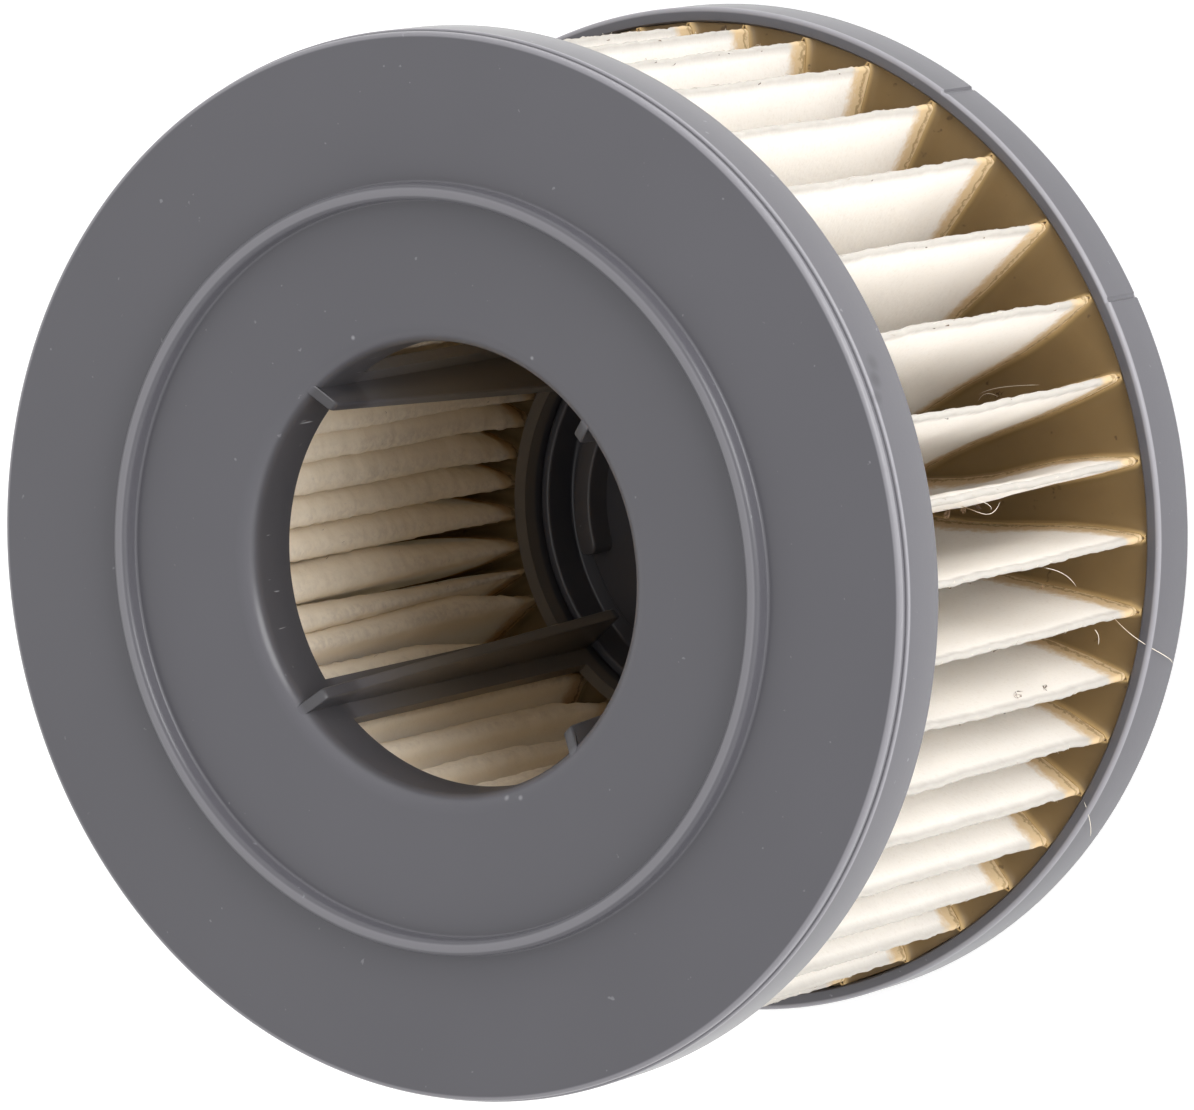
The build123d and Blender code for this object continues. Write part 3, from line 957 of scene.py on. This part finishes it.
def camera():
    """Camera of the photo, from a perspective solve on the round edges of both caps."""
    data = bpy.data.cameras.new("camera")
    data.lens, data.sensor_width, data.sensor_fit = 244.2233, 36.0, "HORIZONTAL"
    data.clip_start, data.clip_end = 0.05, 20
    made = bpy.data.objects.new("camera", data)
    bpy.context.scene.collection.objects.link(made)
    right = Vector((0.61860653, -0.56916488, -0.54164315))
    up = Vector((0.61613098, 0.77918821, -0.11510147))
    back = Vector((0.48755367, -0.2625206, 0.83269103))
    turn = Matrix((right, up, back)).transposed().to_4x4()
    turn.translation = Vector((0.48755433, -0.26505509, 0.87111518))
    made.matrix_world = turn
    bpy.context.scene.camera = made


def area(name, direction, distance, size, power, mirrored=False, target=(0, 0, 0.035)):
    """Disk lamp that faces the object. Only a mirrored one shows in the gloss of the plastic."""
    data = bpy.data.lights.new(name, "AREA")
    data.shape, data.size, data.energy = "DISK", size, power
    made = bpy.data.objects.new(name, data)
    bpy.context.scene.collection.objects.link(made)
    way = Vector(direction).normalized()
    made.location = Vector(target) + way * distance
    made.rotation_mode = "QUATERNION"
    made.rotation_quaternion = (-way).to_track_quat("-Z", "Y")
    made.visible_glossy = mirrored


def world():
    """Even light, dimmer straight overhead so that the bore stays dark, and white where it is seen."""
    made = bpy.data.worlds.new("soft_light")
    made.use_nodes = True
    tree = made.node_tree
    tree.nodes.clear()

    def node(kind, *links, **values):
        new = tree.nodes.new("ShaderNode" + kind)
        for key, value in values.items():
            setattr(new, key, value)
        for socket, source in links:
            if isinstance(source, bpy.types.NodeSocket):
                tree.links.new(source, new.inputs[socket])
            else:
                new.inputs[socket].default_value = source
        return new

    path = node("LightPath").outputs
    seen = node("Math", (0, path["Is Camera Ray"]), (1, path["Is Transmission Ray"]), operation="MAXIMUM")
    seen = node("Math", (0, seen.outputs[0]), (1, path["Is Glossy Ray"]), operation="MAXIMUM")
    up = node("SeparateXYZ", ("Vector", node("TexCoord").outputs["Generated"])).outputs["Z"]
    strength = node("MapRange", ("Value", up), ("From Min", 0.10), ("From Max", 0.55),
                    ("To Min", LIGHT), ("To Max", OVERHEAD))
    light = node("Background", ("Color", (1, 1, 1, 1)), ("Strength", strength.outputs["Result"]))
    white = node("Background", ("Color", (1, 1, 1, 1)), ("Strength", 1.0))
    mix = node("MixShader", (0, seen.outputs[0]), (1, light.outputs[0]), (2, white.outputs[0]))
    node("OutputWorld", ("Surface", mix.outputs[0]))
    bpy.context.scene.world = made


def floor():
    """Pale floor that keeps the shadow: part of its white is its own, for the rays that see it."""
    m = Maker("pale_floor")
    path = m.tree.nodes.new("ShaderNodeLightPath")
    seen = m.sum("MAXIMUM", path.outputs["Is Camera Ray"], path.outputs["Is Glossy Ray"])
    diffuse = m.node("BsdfDiffuse", Color=(0.82, 0.82, 0.82, 1))
    glow = m.node("Emission", {"Strength": m.product(seen, FLOOR_GLOW)}, Color=(1, 1, 1, 1))
    both = m.node("AddShader")
    m.tree.links.new(diffuse.outputs[0], both.inputs[0])
    m.tree.links.new(glow.outputs[0], both.inputs[1])
    m.finish(both.outputs[0])
    mesh = bpy.data.meshes.new("floor")
    side = 6.0
    corners = [(-side, -side, 0), (side, -side, 0), (side, side, 0), (-side, side, 0)]
    mesh.from_pydata(corners, [], [(0, 1, 2, 3)])
    mesh.materials.append(m.material)
    made = bpy.data.objects.new("floor", mesh)
    made.location.z = -0.0001
    bpy.context.scene.collection.objects.link(made)


bpy.context.scene.view_settings.view_transform = "Standard"
camera()
world()
floor()
area("right_box", (0.54, -0.82, 0.18), 1.3, 1.4, 13)
area("upper_box", (0.72, 0.68, 0.16), 1.3, 1.2, 10)
area("edge_box", (0.93, -0.22, 0.30), 1.3, 0.9, 9, mirrored=True)
area("left_box", (-0.62, 0.57, 0.45), 1.3, 1.2, 3)

PLASTIC, PAPER_LOOK, FIBRE_LOOK, GLUE_LOOK = plastic(), filter_paper(), paper_fibre(), set_glue()
for node, look in (("front_frame", PLASTIC), ("rear_cap", PLASTIC), ("pleated_media", PAPER_LOOK),
                   ("rear_potting", GLUE_LOOK), ("front_potting", GLUE_LOOK)):
    data = frame["nodes"][node].data
    data.materials.clear()
    data.materials.append(look)

front_frame(PLASTIC)
rear_cap(PLASTIC)
HEIGHTS, LINE, WAY, THICK = sheet()
paper(PAPER_LOOK, HEIGHTS, LINE, WAY, THICK)
fibres(FIBRE_LOOK, HEIGHTS, LINE)
tangles(painted_shade_fibre(), HEIGHTS, LINE)
row_low = int(np.argmin(abs(HEIGHTS - REAR_GLUE_TOP)))
row_high = int(np.argmin(abs(HEIGHTS - FRONT_GLUE_BOTTOM)))
glue("glue_rear", "rear_potting", GLUE_LOOK, LINE, row_low,
     FLOOR, REAR_GLUE_TOP, 1, RIM_BORE, PLUG_RADIUS)
glue("glue_front", "front_potting", GLUE_LOOK, LINE, row_high,
     FRONT_GLUE_TOP, FRONT_GLUE_BOTTOM, -1, SKIRT_BORE, COLLAR_RADIUS)
